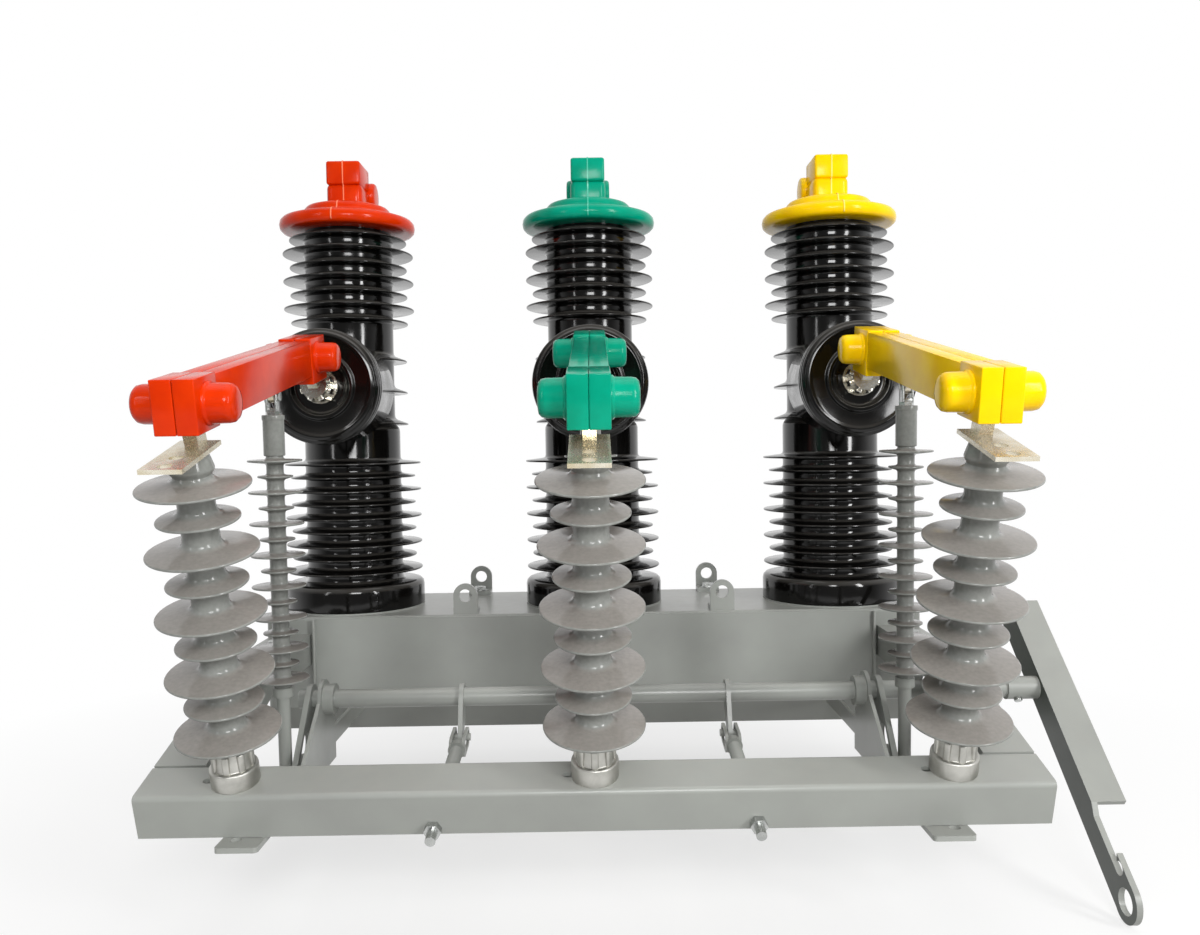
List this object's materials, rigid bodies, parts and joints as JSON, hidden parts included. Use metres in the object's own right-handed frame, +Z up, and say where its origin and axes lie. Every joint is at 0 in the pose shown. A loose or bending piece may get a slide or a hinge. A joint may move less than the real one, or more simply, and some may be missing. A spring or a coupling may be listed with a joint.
{
  "type": "outdoor vacuum circuit breaker with disconnector",
  "caption": "Pole-mounted vacuum circuit breaker: shedded black poles on a steel box, with a disconnector whose coloured knife blades lift together on a lever-turned shaft.",
  "frame": {"origin": "centre of the four foot holes, on the underside of the feet", "axes": "+X across the phases to the right, +Y to the rear where the poles stand, +Z up"},
  "size_m": [0.982, 0.7425, 0.8669],
  "materials": {
    "painted_steel": "satin grey paint",
    "black_epoxy": "glossy cast epoxy",
    "red_silicone": "satin silicone",
    "green_silicone": "satin silicone",
    "yellow_silicone": "satin silicone",
    "grey_silicone": "matte silicone",
    "cast_aluminium": "as cast",
    "tinned_copper": "tinned copper",
    "galvanised_steel": "zinc plated"
  },
  "bodies": {
    "frame": {"mechanism_box": "painted_steel", "front_beam": "painted_steel", "lifting_lug_front_left": "painted_steel", "lifting_lug_front_right": "painted_steel", "lifting_lug_rear_left": "painted_steel", "lifting_lug_rear_right": "painted_steel", "side_arm_left": "painted_steel", "side_bracket_left": "painted_steel", "spring_anchor_left": "galvanised_steel", "side_arm_right": "painted_steel", "side_bracket_right": "painted_steel", "spring_anchor_right": "galvanised_steel", "pole_column_left": "black_epoxy", "pole_cap_left": "red_silicone", "fixed_contact_left": "tinned_copper", "insulator_base_left": "cast_aluminium", "post_insulator_left": "grey_silicone", "terminal_plate_left": "tinned_copper", "pole_column_centre": "black_epoxy", "pole_cap_centre": "green_silicone", "fixed_contact_centre": "tinned_copper", "insulator_base_centre": "cast_aluminium", "post_insulator_centre": "grey_silicone", "terminal_plate_centre": "tinned_copper", "pole_column_right": "black_epoxy", "pole_cap_right": "yellow_silicone", "fixed_contact_right": "tinned_copper", "insulator_base_right": "cast_aluminium", "post_insulator_right": "grey_silicone", "terminal_plate_right": "tinned_copper"},
    "shaft": {"drive_shaft": "galvanised_steel", "operating_lever": "galvanised_steel"},
    "spring_strut_left": {"spring_strut_left": "galvanised_steel"},
    "spring_strut_right": {"spring_strut_right": "galvanised_steel"},
    "blade_left": {"knife_blade_left": "tinned_copper", "blade_cover_left": "red_silicone"},
    "pull_rod_left": {"rod_fork_left": "galvanised_steel", "rod_insulator_left": "grey_silicone", "rod_link_left": "galvanised_steel"},
    "blade_centre": {"knife_blade_centre": "tinned_copper", "blade_cover_centre": "green_silicone"},
    "pull_rod_centre": {"rod_fork_centre": "galvanised_steel", "rod_insulator_centre": "grey_silicone", "rod_link_centre": "galvanised_steel"},
    "blade_right": {"knife_blade_right": "tinned_copper", "blade_cover_right": "yellow_silicone"},
    "pull_rod_right": {"rod_fork_right": "galvanised_steel", "rod_insulator_right": "grey_silicone", "rod_link_right": "galvanised_steel"}
  },
  "joints": [
    {"name": "shaft_turn", "type": "hinge", "parent": "frame", "child": "shaft", "pos_m": [0, 0.1, 0.08], "axis": [-1, 0, 0], "range_deg": [0, 85]},
    {"name": "blade_left_swing", "type": "hinge", "parent": "frame", "child": "blade_left", "pos_m": [-0.34, -0.19, 0.40757], "axis": [1, 0, 0], "range_deg": [0, 30.64]},
    {"name": "pull_rod_left_swing", "type": "hinge", "parent": "blade_left", "child": "pull_rod_left", "pos_m": [-0.34, 0.036, 0.42399], "axis": [1, 0, 0], "range_deg": [-27.9, 0]},
    {"name": "blade_centre_swing", "type": "hinge", "parent": "frame", "child": "blade_centre", "pos_m": [0, -0.19, 0.40757], "axis": [1, 0, 0], "range_deg": [0, 30.64]},
    {"name": "pull_rod_centre_swing", "type": "hinge", "parent": "blade_centre", "child": "pull_rod_centre", "pos_m": [0, 0.036, 0.42399], "axis": [1, 0, 0], "range_deg": [-27.9, 0]},
    {"name": "blade_right_swing", "type": "hinge", "parent": "frame", "child": "blade_right", "pos_m": [0.34, -0.19, 0.40757], "axis": [1, 0, 0], "range_deg": [0, 30.64]},
    {"name": "pull_rod_right_swing", "type": "hinge", "parent": "blade_right", "child": "pull_rod_right", "pos_m": [0.34, 0.036, 0.42399], "axis": [1, 0, 0], "range_deg": [-27.9, 0]},
    {"name": "spring_strut_left_swing", "type": "hinge", "parent": "frame", "child": "spring_strut_left", "pos_m": [-0.152, -0.09503, 0.01798], "axis": [1, 0, 0], "range_deg": [0, 20.37]},
    {"name": "spring_strut_right_swing", "type": "hinge", "parent": "frame", "child": "spring_strut_right", "pos_m": [0.152, -0.09503, 0.01798], "axis": [1, 0, 0], "range_deg": [0, 20.37]}
  ],
  "couplings": [
    {"joint": "blade_left_swing", "follows": "shaft_turn", "ratio": 0.36029},
    {"joint": "pull_rod_left_swing", "follows": "shaft_turn", "ratio": -0.32817},
    {"joint": "blade_centre_swing", "follows": "shaft_turn", "ratio": 0.36029},
    {"joint": "pull_rod_centre_swing", "follows": "shaft_turn", "ratio": -0.32817},
    {"joint": "blade_right_swing", "follows": "shaft_turn", "ratio": 0.36029},
    {"joint": "pull_rod_right_swing", "follows": "shaft_turn", "ratio": -0.32817},
    {"joint": "spring_strut_left_swing", "follows": "shaft_turn", "ratio": 0.23952},
    {"joint": "spring_strut_right_swing", "follows": "shaft_turn", "ratio": 0.23952}
  ]
}
